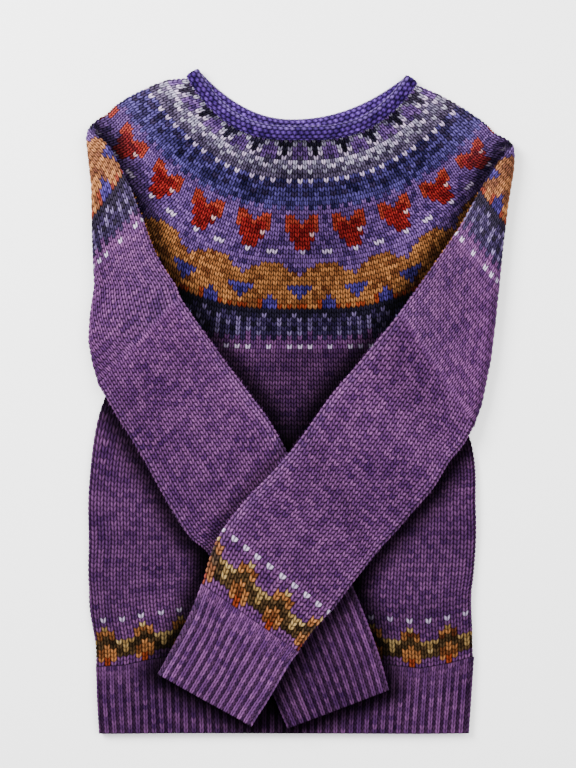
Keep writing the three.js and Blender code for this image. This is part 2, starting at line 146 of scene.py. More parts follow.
def curve(p0, p1, p2, p3, t):
    """A smooth curve through four points, at a share of the way from the second to the third."""
    a, b, d = (p2 - p0) / 2, (p3 - p1) / 2, p1 - p2
    return p1 + t * (a + t * (-3 * d - 2 * a - b + t * (2 * d + a + b)))


def curve_through(values, where):
    """Values at fractional places along a list of rows, on a smooth curve through them."""
    values = np.asarray(values, float)
    last = len(values) - 1
    where = np.clip(np.asarray(where, float), 0, last)
    i = np.minimum(where.astype(int), last - 1)
    t = where - i
    while t.ndim < values[i].ndim:
        t = t[..., None]
    before, after = np.maximum(i - 1, 0), np.minimum(i + 2, last)
    return curve(values[before], values[i], values[i + 1], values[after], t)


def length_along(points):
    """How far along a line each of its points is."""
    return np.concatenate([[0], np.cumsum(np.linalg.norm(np.diff(points, axis=0), axis=1))])


def even_places(values, count):
    """Fractional places along a list of plan points that are the same distance apart."""
    fine = np.linspace(0, len(values) - 1, 40 * len(values))
    length = length_along(curve_through(values, fine))
    return np.interp(np.linspace(0, length[-1], count), length, fine), length[-1]


def place(across, down, height):
    """Points of the part from places on the pattern and heights."""
    return np.stack(
        np.broadcast_arrays(across - ORIGIN["across"], ORIGIN["down"] - down, height), -1
    )


def ripple(across, down):
    """The uneven lie of soft cloth on a table, from -1 to 1."""
    return (
        0.45 * np.sin(across / 31 + 1.3 * np.sin(down / 57))
        + 0.35 * np.sin(down / 43 + across / 90 + 2.1)
        + 0.2 * np.sin(across / 17 - down / 23)
    )


# The pattern of the jumper

BODY_ROUNDS = (  # middle down, left across, left down, right across, right down
    (599, -205, 598, 174, 598),
    (576, -206, 576, 174, 576),
    (536, -212, 536, 173, 536),
    (476, -213, 476, 177, 476),
    (436, -213, 430, 177, 430),
    (400, -209, 384, 176, 400),
    (380, -202, 348, 172, 377),
    (365, -192, 321, 165, 361),
)
HEM_ROUNDS = (
    (669, -201, 669, 169, 669),
    (634, -203.5, 634, 171.5, 634),
    (599.3, -205, 598.3, 174, 598.3),
)
# How much lower than its round the wool lies above the hem: across, lower. And how far down the
# pattern that begins, is in full, begins to fade and is gone.
BAND_LIE = (
    (-205, 4), (-176, 2), (-155, -3), (-118, -9), (-60, -6), (0, -2), (80, 0), (120, 5),
    (150, 0), (172, -6),
)
BAND_LIE_STAGES = (480, 570, 600, 680)
# Rounds of the yoke that go on over the folds: middle down, bend, then for each side how far down
# the round is at the fold line and at the fold's outermost edge, and where it ends on the flap.
FOLDED_ROUNDS = (
    (365, 3, (321, 320, 119, 232), (361, 362, 100, 246)),
    (323, 3.4, (264, 262, 141, 193), (300, 297, 128, 207)),
    (281, 4, (206, 203, 157, 153), (223, 220, 156, 167)),
    (248, 2.9, (168, 164, 173, 115), (174, 170, 177, 130)),
    (221, 2.6, (121, 113, 192, 80), (133, 126, 193, 103)),
    (194, 2.5, (74, 67, 208, 66), (90, 84, 209, 83)),
)
# Rounds above the sleeves: middle down, bend, then across and down at each shoulder edge.
SHOULDER_ROUNDS = (
    (170, 2.4, (196, 49), (198, 68)),
    (146, 2.4, (183, 37.5), (187, 58)),
    (121, 2.4, (160, 24.5), (166, 43)),
    (97, 2.5, (136, 14.5), (141, 29)),
    (75.5, 2.9, (114, 12), (119, 19)),
    (70, 3, (109, 9), (114, 15.5)),
)
FOLD_LINES = {  # where each sleeve starts to turn over: across, down
    "left": (
        (-202.5, 62), (-205.2, 73), (-204, 86), (-200, 121), (-199, 176),
        (-197, 221), (-201.5, 251), (-203, 276), (-199, 298), (-192.5, 320),
    ),
    "right": (
        (204.5, 80), (206, 91), (205, 106), (200, 136), (195, 176),
        (191, 216), (187, 256), (182, 296), (173, 340), (165.5, 360),
    ),
}
SLEEVE_SECTIONS = {  # from the yoke to the cuff: shoulder edge, then underarm edge, as across, down
    "left": (
        (-119.6, 231, -202, 320), (-100, 260, -188, 343), (-78, 291, -169, 374),
        (-54, 322, -149, 408), (-32, 352, -130, 443), (-15, 382, -111, 472),
        (2, 415, -95, 485), (19, 444, -84, 502), (34, 480, -72, 525),
        (40.1, 496.3, -67.9, 527.3),
    ),
    "right": (
        (100.6, 245, 174, 361), (78, 273, 163, 381), (54, 302, 149, 398),
        (28, 333, 132, 426), (3, 368, 108, 453), (-22, 399, 84, 480),
        (-50, 429, 57, 512), (-75, 459, 33, 543), (-88, 484, 14, 564),
        (-97.4, 516.6, -1.4, 584.6),
    ),
}
CUFF_SECTIONS = {
    "left": (
        (40.1, 496.3, -67.9, 527.3), (53, 522, -53, 562), (67, 556, -40, 598),
        (79, 591, -26, 632), (88, 624, -12, 662),
    ),
    "right": (
        (-97.4, 516.6, -1.4, 584.6), (-108, 544, -12, 600), (-124, 576, -28, 627),
        (-142, 608, -48, 660),
    ),
}
BACK_RISE = 7.5  # how much higher the back of the neck is
BACK_RISES = (194, 84)  # from which round of the yoke to which it rises to that
NECK_ARCS = {  # middle across, middle down, bend
    "front": (0.0, 68.0, 3.0),
    "back": (-8.0, 60.5, 2.1),
}
NECK_CORNERS = {"left": (-106.0, 10.0), "right": (110.0, 16.5)}
BAND_WIDTH = 15.0
BAND_HALF_HEIGHT = 3.0
BAND_OVER_FRONT = 2.6  # from the middle of the front's wall to the roll's
BAND_SQUEEZE = 0.72  # its thickness at the neck's corners, as a share
DASH_SLANT = 0.35  # of the purl bumps, in stitches
DASH_WIDTH = 0.7  # lower is wider
LEAST_BUMP = 0.75  # as a share of the largest
BUMP_MIDDLE = 0.55
BUMP_LIGHT = (0.03, 1.1, 1.7)  # between the bumps, how much more on them, and how fast it grows


# How the sleeves lie over the front


def fold_across(side, down):
    """Where a sleeve's fold line is at a height on the pattern."""
    line = np.array(FOLD_LINES[side])
    return np.interp(down, line[:, 1], line[:, 0])


def sleeve_outline(side):
    """The outline of a folded sleeve as corner points: shoulder edge, cuff, underarm edge, fold."""
    outward, number = (-1.0, 2) if side == "left" else (1.0, 3)
    flap = [(outward * round_[number][2], round_[number][3]) for round_ in FOLDED_ROUNDS[::-1]]
    sections = np.array(SLEEVE_SECTIONS[side] + CUFF_SECTIONS[side][1:], float)
    fold = np.array(FOLD_LINES[side][::-1]) + (outward * FOLD_SKIN, 0.0)
    return np.concatenate([flap, sections[:, :2], sections[::-1, 2:], fold])


def outside_sleeve(side, across, down):
    """How far places are outside a folded sleeve, below 0 inside it."""
    corners = sleeve_outline(side)
    nearest = np.full(np.shape(across), 1e9)
    inside = np.zeros(np.shape(across), bool)
    for (ax, ay), (bx, by) in zip(corners, np.roll(corners, -1, 0)):
        ex, ey = bx - ax, by - ay
        t = np.clip(((across - ax) * ex + (down - ay) * ey) / (ex * ex + ey * ey), 0, 1)
        away = np.hypot(across - ax - t * ex, down - ay - t * ey)
        nearest = np.minimum(nearest, away)
        crosses = (ay > down) != (by > down)
        with np.errstate(divide="ignore", invalid="ignore"):
            inside ^= crosses & (across < ax + (down - ay) / (by - ay) * ex)
    return np.where(inside, -nearest, nearest)


def beside_sleeves(spots, corner):
    """How much light reaches wool that lies deep beside a sleeve, from 0 to 1."""
    corner_light, reach = corner
    across, down = spots[:, 0] + ORIGIN["across"], ORIGIN["down"] - spots[:, 1]
    light = np.ones(len(spots))
    for side, top in SHADED_BELOW.items():
        below = (spots[:, 2] < top) & (spots[:, 2] > MIDDLE)
        away = outside_sleeve(side, across, down)
        shaded = mix(corner_light, 1.0, smooth((away - CORNER_DEPTH) / reach))
        light = np.where(below & (away > 0), light * shaded, light)
    return light


def sleeve_middle(side, across, down):
    """Height of the middle of a folded sleeve over the table."""
    fold = fold_across(side, down)
    from_fold = np.where(across * fold < 0, np.inf, np.abs(fold) - np.abs(across) + CREST)
    settled = FRONT_TOP + REST + RIB_RISE * between(down, *HEM_CLIMB)
    after_fold = 2 * (MIDDLE + FOLD_RADIUS) - FRONT_TOP
    height = settled + (after_fold - settled) * (1 - smooth(from_fold / SETTLING))
    if side == "right":
        climb = WALL * 2 + TUBE_GAP + CROWN + RIB_RISE + REST
        outside = outside_sleeve("left", across, down)
        height = height + climb * (1 - between(outside, *CROSSING))
    return height + INSET


def laid(across, down, off):
    """Places on the unfolded pattern, laid down with the sleeves turned over the fold lines.

    off is the distance in front of the middle of the flat tube, on the unfolded pattern.
    """
    upper, lower = np.clip(off / LAYER, 0, 1), np.clip(-off / LAYER, 0, 1)
    height = MIDDLE + off + upper * FRONT_LIE * (ripple(across, down) - 1)
    across_out = np.array(across, float)
    for side, outward in (("left", -1.0), ("right", 1.0)):
        fold = fold_across(side, down)
        beyond = (across - fold) * outward
        angle = np.clip(beyond / FOLD_SKIN, 0, math.pi)
        radius = FOLD_RADIUS - off
        turned_across = fold + outward * radius * np.sin(angle)
        turned_height = MIDDLE + FOLD_RADIUS - radius * np.cos(angle)
        past = beyond - math.pi * FOLD_SKIN
        flap_across = fold - outward * past
        flap_height = sleeve_middle(side, flap_across, down) - off
        flap_height = flap_height + lower * SLEEVE_LIE * (ripple(flap_across, down + FLAP_SHIFT) - 1)
        on_turn, on_flap = beyond > 0, past > 0
        across_out = np.where(on_turn, turned_across, across_out)
        height = np.where(on_turn, turned_height, height)
        across_out = np.where(on_flap, flap_across, across_out)
        height = np.where(on_flap, flap_height, height)
    return place(across_out, down, height)


# The pieces as smooth tubes, before the stitches are laid on them


def ring_by_length(points):
    """Resamples closed rings of points to the same number of evenly spaced ones."""
    rings = []
    for ring in np.concatenate([points, points[:, :1]], 1):
        length = length_along(ring)
        wanted = np.linspace(0, length[-1], SAMPLES, endpoint=False)
        rings.append(np.stack([np.interp(wanted, length, ring[:, k]) for k in range(3)], -1))
    return np.array(rings)


def flat_section(start, end, count):
    """Places across a flat tube and how far they are in front of its middle, once round it."""
    flat = np.linspace(start + INSET, end - INSET, count)
    quarter = np.linspace(0, math.pi / 2, EDGE_POINTS + 1)[:-1]
    sine, cosine = LAYER * np.sin(quarter), LAYER * np.cos(quarter)
    first, last = start + INSET, end - INSET
    across = (first - cosine, flat, last + sine[1:], last + cosine, flat[::-1], first - sine[1:])
    layer = np.full(count, LAYER)
    off = (sine, layer, cosine[1:], -sine, -layer, -cosine[1:])
    return np.concatenate(across), np.concatenate(off)


def body_tube(rounds, count):
    """Rings of a flat tube, from its lowest round up. It starts at the middle of the left side."""
    rounds = np.array(rounds)
    plan = np.stack([np.zeros(len(rounds)), rounds[:, 0]], -1)
    places, length = even_places(plan, count)
    starts, full, fades, gone = BAND_LIE_STAGES
    rings = []
    for middle, left, left_down, right, right_down in curve_through(rounds, places):
        across, off = flat_section(left, right, BODY_POINTS)
        end = np.where(across < 0, left, right)
        end_down = np.where(across < 0, left_down, right_down)
        lower = np.interp(across, *np.array(BAND_LIE, float).T)
        lower = lower * between(middle, starts, full) * (1 - between(middle, fades, gone))
        down = mix(middle, end_down, np.minimum(np.abs(across / end), 1) ** 3) + lower
        lie = np.clip(off / LAYER, 0, 1) * FRONT_LIE * (ripple(across, down) - 1)
        rings.append(place(across, down, MIDDLE + off + lie))
    return ring_by_length(np.array(rings)), length


def even_line(across, down):
    """Evenly spaced points of a line on the pattern, without the tube's round edge at its end."""
    length = length_along(np.stack([across, down], -1))
    wanted = np.linspace(0, length[-1] - INSET, PLAN_POINTS)
    return np.stack([np.interp(wanted, length, across), np.interp(wanted, length, down)], -1)


def yoke_side(side, middle, bend, ends):
    """One round's plan from the middle of the front to its end at one side, unfolded."""
    share = np.linspace(0, 1, 80)
    if len(ends) == 2:
        end, end_down = ends
        down = mix(middle, end_down, share**bend)
        return even_line(end * share, down)
    end_down, crest_down, last, last_down = ends
    end = abs(fold_across(side, end_down))
    front_down = mix(middle, end_down, share**bend)
    crest = abs(fold_across(side, crest_down)) + FOLD_SKIN
    flap = mix(crest, last, share)
    flap_down = mix(crest_down, last_down, share)
    fold = np.abs(fold_across(side, flap_down))
    on_turn = np.clip((flap - fold) / FOLD_SKIN, 0, 1)
    # On the turn the cloth goes round a half circle, so it is longer than it looks from above.
    spare = (math.pi / 2 - 1) * FOLD_SKIN
    unfolded = 2 * fold + math.pi * FOLD_SKIN - flap - on_turn * spare
    across = np.concatenate([end * share, unfolded])
    down = np.concatenate([front_down, flap_down])
    return even_line(across, down)


def yoke_plan(middle, bend, left, right):
    """One round's plan from its left end to its right end, unfolded."""
    left = yoke_side("left", middle, bend, left) * (-1, 1)
    right = yoke_side("right", middle, bend, right)
    return np.concatenate([left[::-1], right[1:]])


def yoke_ring(plan, back_plan):
    """One round of the yoke, starting at the left end, over the front and back underneath."""
    rows = []
    for face, plan in ((1, plan), (-1, back_plan)):
        length = length_along(plan)
        centre = length[len(plan) // 2]
        turn = LAYER * math.pi / 2
        share = np.where(
            length < centre,
            0.5 * (length + turn) / (centre + turn),
            1 - 0.5 * (length[-1] - length + turn) / (length[-1] - centre + turn),
        )
        wanted = np.arange(SAMPLES // 2) / (SAMPLES // 2)
        wanted = wanted if face > 0 else 1 - wanted
        across = np.interp(wanted, share, plan[:, 0])
        down = np.interp(wanted, share, plan[:, 1])
        before, after = wanted < share[0], wanted > share[-1]
        angle = np.zeros(len(wanted))
        angle[before] = math.pi / 2 * (1 - wanted[before] / share[0])
        angle[after] = math.pi / 2 * (wanted[after] - share[-1]) / (1 - share[-1])
        away = np.zeros((len(wanted), 2))
        for ends, way in ((before, plan[0] - plan[2]), (after, plan[-1] - plan[-3])):
            away[ends] = way / np.linalg.norm(way)
        across = across + away[:, 0] * LAYER * np.sin(angle)
        down = down + away[:, 1] * LAYER * np.sin(angle)
        rows.append(laid(across, down, face * LAYER * np.cos(angle)))
    return np.concatenate(rows)


def yoke_tube(low, high, count):
    """Rings of the yoke between two of its rounds, given by how far down their middle is."""
    rounds = FOLDED_ROUNDS + SHOULDER_ROUNDS
    plans = np.array([yoke_plan(*round_) for round_ in rounds])
    fine = np.linspace(0, len(rounds) - 1, 400)
    middles = curve_through([round_[0] for round_ in rounds], fine)
    wanted = np.linspace(low, high, count)
    places = np.interp(-wanted, -middles, fine)
    rings = []
    for plan, middle in zip(curve_through(plans, places), wanted):
        back = plan.copy()
        reach = 1 - np.clip(np.abs(plan[:, 0]) / abs(plan[0, 0]), 0, 1) ** 2
        back[:, 1] -= BACK_RISE * between(middle, *BACK_RISES) * reach
        rings.append(yoke_ring(plan, back))
    return np.array(rings), low - high


def sleeve_ring(side, section):
    """One round of a folded sleeve, starting at its underarm edge, over its upper face."""
    shoulder, under = np.array(section[:2]), np.array(section[2:])
    size = np.hypot(*(shoulder - under))
    way = (shoulder - under) / size
    along, off = flat_section(0.0, size, SLEEVE_POINTS)
    across = under[0] + way[0] * along
    down = under[1] + way[1] * along
    middle = sleeve_middle(side, across, down)
    share = np.clip((along - INSET) / (size - 2 * INSET), 0, 1)
    after_fold = np.abs(fold_across(side, down)) - across * np.sign(fold_across(side, down))
    crown = CROWN * np.sin(share * math.pi) ** CROWN_SHAPE * between(after_fold, *CROWN_GROWS)
    lie = SLEEVE_LIE * (ripple(across, down + FLAP_SHIFT) - 1)
    upper = np.clip(off / LAYER, 0, 1)
    return place(across, down, middle + off + upper * (crown + lie))


def sleeve_tube(side, sections, start, end, count):
    """Rings of a folded sleeve between two shares of its length, from the cuff end up."""
    sections = np.array(sections, float)
    middles = (sections[:, :2] + sections[:, 2:]) / 2
    places, length = even_places(middles, 200)
    shares = np.linspace(end, start, count)
    at = np.interp(shares, np.linspace(0, 1, 200), places)
    rings = [sleeve_ring(side, section) for section in curve_through(sections, at)]
    return ring_by_length(np.array(rings)), length * (end - start)


# Knitting: a smooth tube gets its stitches


def sample(rings, around, along):
    """Points of a tube at shares around it and at fractional rings along it."""
    row = np.clip(along.astype(int), 0, len(rings) - 2)
    past_row = (along - row)[..., None]
    column = (around % 1.0) * SAMPLES
    first = column.astype(int)

    def spot(step):
        at = (first + step) % SAMPLES
        return mix(rings[row, at], rings[row + 1, at], past_row)

    return curve(spot(-1), spot(0), spot(1), spot(2), (column - first)[..., None])


def grid_mesh(name, columns, lines):
    """A grid closed both ways, and the column and line of each of its vertices."""
    bm = bmesh.new()
    bmesh.ops.create_grid(bm, x_segments=columns, y_segments=lines, size=0.5)
    index = {}
    for vert in bm.verts:
        index[round((vert.co.x + 0.5) * columns), round((vert.co.y + 0.5) * lines)] = vert
    targets = {}
    for (i, j), vert in index.items():
        if i == columns or j == lines:
            targets[vert] = index[i % columns, j % lines]
    bmesh.ops.weld_verts(bm, targetmap=targets)
    mesh = bpy.data.meshes.new(name)
    bm.to_mesh(mesh)
    bm.free()
    flat = np.empty(len(mesh.vertices) * 3, np.float32)
    mesh.vertices.foreach_get("co", flat)
    spots = flat.reshape(-1, 3)
    column = np.rint((spots[:, 0] + 0.5) * columns).astype(int)
    line = np.rint((spots[:, 1] + 0.5) * lines).astype(int)
    return mesh, column, line


def face_cells(mesh, column, line, columns, lines):
    """The lowest column and line of each face of a closed grid."""
    corners = np.empty(len(mesh.loops), np.int32)
    mesh.loops.foreach_get("vertex_index", corners)
    corners = corners.reshape(-1, 4)

    def lowest(values, count):
        values = values[corners]
        low, high = values.min(1), values.max(1)
        return np.where(high - low > 1, count - 1, low)

    return corners, lowest(column, columns), lowest(line, lines)


def stocking_relief(a, b, gap):
    """Height of stocking stitch over its crest, at most 0; a goes across a stitch, b along it."""
    legs = -0.5 * (1 + np.cos(2 * TAU * a))
    groove = np.where(np.abs(a - 0.5) < FIRST, GROOVE_DEPTH, 1.0)
    return HOLLOW_DEPTH * groove * legs - np.where(b < FIRST, gap, 0.0)


def rib_relief(a, b, stitch, gap):
    """Height of knit one, purl one over the crest: every second column stands up."""
    raised = stocking_relief(a, b, gap) * KNIT_RELIEF
    middle = 0.5 - 0.5 * np.cos(TAU * a)
    sunk = -RIB_RISE + PURL_EDGE * middle - np.where(b < FIRST, PURL_GAP, 0.0)
    return np.where(stitch % 2 == 0, raised, sunk)


def strayed(stitches, row, patch):
    """How far stitches are from where they belong, alike over a patch."""
    wide, high, seed = patch
    return STRAY * (patches(stitches / wide, row / high, seed) - 0.5)


class Knitting:
    """One tube of knitting."""

    def __init__(self, name, tube, stitches, row_height, ribbed=False, gap=ROW_GAP):
        self.name = name
        self.rings, length = tube
        self.stitches = stitches
        self.rows = max(2, round(length / row_height))
        self.columns = stitches * COLUMNS
        self.outer = self.rows * LINES
        self.inner = max(4, self.rows // INNER_ROWS)
        self.lines = self.outer + self.inner + 2
        self.ribbed = ribbed
        self.gap = gap

    def across_stitches(self, column):
        """Where a column of the mesh is, in stitches from the middle of the first one.

        The purl columns of a rib draw in behind its knit ones.
        """
        stitches = column / COLUMNS
        if not self.ribbed:
            return stitches - 0.5
        pair = np.floor(stitches / 2)
        share = stitches / 2 - pair
        knit = share * 2 * KNIT_SHARE
        purl = KNIT_SHARE + (share - 0.5) * 2 * (1 - KNIT_SHARE)
        return 2 * (pair + np.where(share < 0.5, knit, purl)) - KNIT_SHARE

    def relief(self, a, b, stitch, row):
        """Height of the wool over its crest; a rib starts as stocking stitch and grows."""
        plain = stocking_relief(a, b, self.gap)
        if not self.ribbed:
            return plain
        rows, least = RIB_START
        grown = mix(least, 1.0, smooth((self.rows - row) / rows))
        return mix(plain, rib_relief(a, b, stitch, self.gap), grown)

    def build(self, wool, rise=0.0, corner=BODY_CORNER):
        """Makes the piece; rise is how much higher its crests are where they look up."""
        mesh, column, line = grid_mesh(self.name, self.columns, self.lines)
        on_outer = line <= self.outer
        at_end = (line == 0) | (line == self.outer)
        inner_line = np.clip(line - self.outer - 1, 0, self.inner)
        row = np.where(on_outer, line / LINES, self.rows * (1 - inner_line / self.inner))
        a = (column % COLUMNS) / COLUMNS
        b = (line % LINES) / LINES
        to_end = np.minimum(row, self.rows - row)
        lean = SLANT * (np.abs(2 * a - 1) - 0.5) * np.clip(to_end * LINES, 0, 1)
        lean = lean + strayed(column / COLUMNS, row, UPWARDS) * smooth(to_end / STRAY_START)
        sway = strayed(column / COLUMNS, row, SIDEWAYS)
        around = (self.across_stitches(column) + sway) / self.stitches
        spots, normal = self.skin(around, row + lean * on_outer)
        relief = self.relief(a, np.where(at_end, 0.5, b), column // COLUMNS, row)
        offset = np.where(on_outer, HALF + relief + rise * smooth(normal[:, 2] * 2), -HALF)
        rim = (line == self.outer + 1) | (line == self.lines - 1)
        offset = np.where(rim, 0.0, offset)
        spots = (spots + normal * offset[:, None]) * MM
        corners, low_column, low_line = face_cells(mesh, column, line, self.columns, self.lines)
        face_row = np.where(low_line < self.outer, low_line // LINES, 0)
        hole = ((np.abs(a - 0.5) < FIRST) & (b > 0.5)) | ((a < FIRST) & (b < FIRST))
        loss = HOLLOW_LOSS * (RIB_LOSS if self.ribbed else 1.0)
        light = np.clip(1.0 + loss * relief, LEAST_LIGHT, 1.0) * np.where(hole, HOLE_LIGHT, 1.0)
        light = light * np.where(at_end, END_LIGHT, 1.0)
        light = np.where(on_outer, light, INNER_LIGHT) * beside_sleeves(spots / MM, corner)
        shades = painted(wool, light[corners], low_column, face_row, self.stitches)
        soft = (low_line < self.outer) | (low_line > self.outer + 1)
        soft &= low_line < self.lines - 2
        return finished(mesh, spots, corners, shades, soft)

    def skin(self, around, row):
        """Points of the wall's middle and the way out of the tube."""
        last = len(self.rings) - 1
        scale = last / self.rows
        along = np.clip(row * scale, 0, last)

        def spot(stitches, rows):
            moved = np.clip(along + rows * scale, 0, last)
            return sample(self.rings, around + stitches / self.stitches, moved)

        normal = np.cross(spot(0.3, 0) - spot(-0.3, 0), spot(0, 0.5) - spot(0, -0.5))
        normal /= np.linalg.norm(normal, axis=1)[:, None]
        return spot(0, 0), normal * self.outward()

    def outward(self):
        """1 where the cross product of the two ways points out of the tube, otherwise -1."""
        middle, top = len(self.rings) // 2, SAMPLES // 4
        ring, after = self.rings[middle], self.rings[middle + 1]
        normal = np.cross(ring[top + 1] - ring[top], after[top] - ring[top])
        return 1.0 if np.dot(normal, ring[top] - ring[-top]) > 0 else -1.0


def signed_volume(spots, corners):
    p = spots[corners]
    first = np.einsum("ij,ij->i", p[:, 0], np.cross(p[:, 1], p[:, 2]))
    second = np.einsum("ij,ij->i", p[:, 0], np.cross(p[:, 2], p[:, 3]))
    return (first + second).sum()


# Colours


def chance(i, j, seed):
    """A fixed number from 0 to 1 for each pair of whole numbers, as if drawn at random."""
    n = np.sin(i * 127.1 + j * 311.7 + seed * 74.7) * 43758.5453
    return n - np.floor(n)


def patches(i, j, seed):
    """Soft noise from 0 to 1 over two numbers, one patch for each whole step."""
    low_i, low_j = np.floor(i), np.floor(j)
    s, t = smooth(i - low_i), smooth(j - low_j)
    near = mix(chance(low_i, low_j, seed), chance(low_i + 1, low_j, seed), s)
    far = mix(chance(low_i, low_j + 1, seed), chance(low_i + 1, low_j + 1, seed), s)
    return mix(near, far, t)


def linear(rgb):
    """A colour as a screen shows it, from 0 to 1, as the amount of light."""
    c = np.array(rgb, float)
    return np.where(c <= 0.04045, c / 12.92, ((c + 0.055) / 1.055) ** 2.4)


def screen(*rgb):
    """A colour from numbers of 0 to 255."""
    return tuple(round(c / 255, 3) for c in rgb)


# Each wool: its name, a light and a dark shade of its heather as a screen shows them, from 0 to
# 255, and how much single stitches differ.
WOOLS = {
    "P": ("Purple", (124, 76, 128), (54, 25, 74), 0.6),
    "W": ("White fleck", (212, 192, 222), (160, 138, 180), 0.5),
    "K": ("Ink", (34, 29, 48), (10, 8, 18), 0.5),
    "D": ("Dusk", (54, 42, 78), (16, 11, 34), 0.7),
    "L": ("Lilac grey", (118, 102, 146), (42, 31, 66), 0.85),
    "G": ("Gold", (178, 116, 66), (64, 24, 14), 0.8),
    "R": ("Rust", (150, 62, 30), (82, 28, 16), 0.6),
    "O": ("Brown", (84, 62, 40), (22, 14, 8), 0.7),
    "Y": ("Cream", (194, 162, 106), (110, 80, 42), 0.7),
    "B": ("Blue violet", (74, 58, 134), (22, 15, 60), 0.75),
    "V": ("Violet", (118, 84, 150), (30, 16, 60), 0.75),
    "H": ("Red", (140, 32, 30), (62, 8, 12), 0.7),
    "h": ("Orange", (168, 62, 44), (90, 22, 18), 0.7),
    "p": ("Pink", (218, 168, 164), (176, 122, 128), 0.5),
    "N": ("Navy", (84, 72, 138), (8, 5, 34), 0.8),
    "M": ("Mauve", (96, 84, 112), (30, 22, 44), 0.8),
    "S": ("Silver", (172, 164, 190), (60, 50, 80), 0.85),
    "U": ("Neckband", (130, 86, 202), (24, 6, 72), 0.65),
    # Painted highlight: the neckband's crest and edge are its own wool painted lighter where the roll
    # catches the light
    "u": ("Neckband crest highlight", (150, 116, 210), (70, 42, 130), 0.6),
    "T": ("Neckband edge highlight", (168, 140, 214), (106, 80, 166), 0.5),
}

# How the heather varies
STREAK = 5.0  # stitches
CLOUD = (14.0, 9.0)  # stitches and rows
STREAK_SHARE = 0.6  # the rest of the difference is the clouds'
TWIST = (0.9, 1.1)  # light of a single leg of a stitch
WEAR = (0.82, 1.18)  # light of the darkest and the lightest cloud
# Painted sheen: the pale colour of lit loose hairs, and how much of it is mixed in where the wool is
# painted lighter
PAINTED_SHEEN = screen(150, 130, 156)
PAINTED_SHEEN_SHARE = 0.14

# The patterns, charted as a knitter does: a letter is a stitch in that wool. The last line is
# worked first, next to the hem or the cuff, and the repeat goes all round the piece.
ZIGZAG = """
W.....
......
Y.....
GG...G
OG...G
OOYYYO
GOOYOO
GGOYOG
GGOOOG
RG.P.G
R.....
"""
BODY_ZIGZAG = ZIGZAG.replace("W.....", "W..W..")
SLEEVE_ZIGZAG = ZIGZAG.replace("W.....", "W.W.W.")
GOLD_BAND = """
VVVVVVVVVVVV
VVVVVVGGGGGV
VVVVGGGGGGGG
GGVGGGGGGGGG
GGGGGGGGGGGG
GGGGGGGGGGGG
BBBBBGGGGGGG
GBBBGGGGGGGG
GGBGGGGGBGGG
GGGGGGRBBBGG
RGRRGGRBBBRG
KKKKKKKKKKKK
KLKKKDKLKKKD
LDLKLDLDLKLD
LDLDLKLDDDLK
DKLDLDDLKDLD
LDLDPDLDDDLD
PDPDPDPDPDPD
PPPPPPPPPPPP
WPWPWPPPWPPP
"""
HEARTS = """
NNNNNNNNNN
NVNNVNVNNV
VVVVVVVVVV
VVhhVVVhhV
VhhhVVVhhh
hHHhVVVhHH
HHHhVVVhHH
HHpVVVVVHH
HHHVVVVVHH
HHVVVVVVVH
HHVVVVVVVH
WVVVWWVVVV
VVVVVVVVVV
"""
NAVY_BAND = """
SWSMSWS
SMSWSMS
MSMMMSM
MMMMMMM
NWNWNWN
DNDNDND
NNNNNNN
NNDNDNN
NNNNNNN
"""
# Its u and T rows are a painted highlight along the roll's edge
NECKBAND = """
T
T
u
U
U
U
"""
CHECKS = """
SSVSVS
VSKKKS
VVSKSV
VVWKWV
MVMWMV
"""


def charted(text, plain="P"):
    """The rows of a chart, first row worked first."""
    rows = [row.replace(".", plain) for row in text.split()]
    return np.array([list(row) for row in reversed(rows)])


class Wool:
    """Says which wool each stitch of a piece has, and how light it is, with painted light and shade."""

    def __init__(self, colours, seed, chart=None, centre=0, plain="P", tones_and_light=()):
        self.colours = colours
        self.seed = seed
        self.chart = None if chart is None else charted(chart, plain)
        self.centre = centre
        self.plain = plain
        self.tones_and_light = tones_and_light

    def letters(self, stitch, row):
        letters = np.full(len(stitch), self.plain)
        if self.chart is not None:
            rows, repeat = self.chart.shape
            charted_row = self.chart[np.minimum(row, rows - 1), (stitch - self.centre) % repeat]
            letters = np.where(row < rows, charted_row, letters)
        return letters

    def tone_and_light(self, around):
        """How light the wool is at a share of the way round: the product of all its tones and its
        painted light and shade.
        """
        result = np.ones(len(around))
        for middle, reach, tone_and_light in self.tones_and_light:
            away = np.abs((around - middle + 0.5) % 1.0 - 0.5)
            result = result * mix(tone_and_light, 1.0, smooth(away / reach))
        return result

    def __call__(self, stitch, row, leg, around):
        letters = self.letters(stitch, row)
        streak = patches(stitch / STREAK, row * 1.0, self.seed)
        cloud = patches(stitch / CLOUD[0], row / CLOUD[1], self.seed + 3)
        single = chance(stitch, row, self.seed + 7)
        result = np.zeros((len(stitch), 3))
        for letter, (_, _, _, mottle) in WOOLS.items():
            light, dark = self.colours[letter]
            t = mix(mix(cloud, streak, STREAK_SHARE), single, mottle)[:, None]
            result = np.where((letters == letter)[:, None], mix(dark, light, t), result)
        twist = mix(*TWIST, chance(stitch * 2 + leg, row, self.seed + 11))
        wear = mix(*WEAR, cloud)
        # Painted light and shade from the tones: lighter edges, a darker chest and a darker left cuff
        tone_and_light = self.tone_and_light(around)
        # Painted sheen: where the painted light makes the wool lighter, its colour is mixed towards the
        # pale colour of loose hairs that catch the light.
        result = mix(result, linear(PAINTED_SHEEN), PAINTED_SHEEN_SHARE * np.clip(tone_and_light - 1, 0, 1)[:, None])
        return result * (twist * wear * tone_and_light)[:, None]


def painted(wool, light, column, row, stitches):
    """The colours of the corners of faces: the wool of their stitch in the light of each corner."""
    stitch = column // COLUMNS
    colour = wool(stitch, row, column % COLUMNS // 2, stitch / stitches)
    return colour[:, None, :] * light[..., None]


# Materials


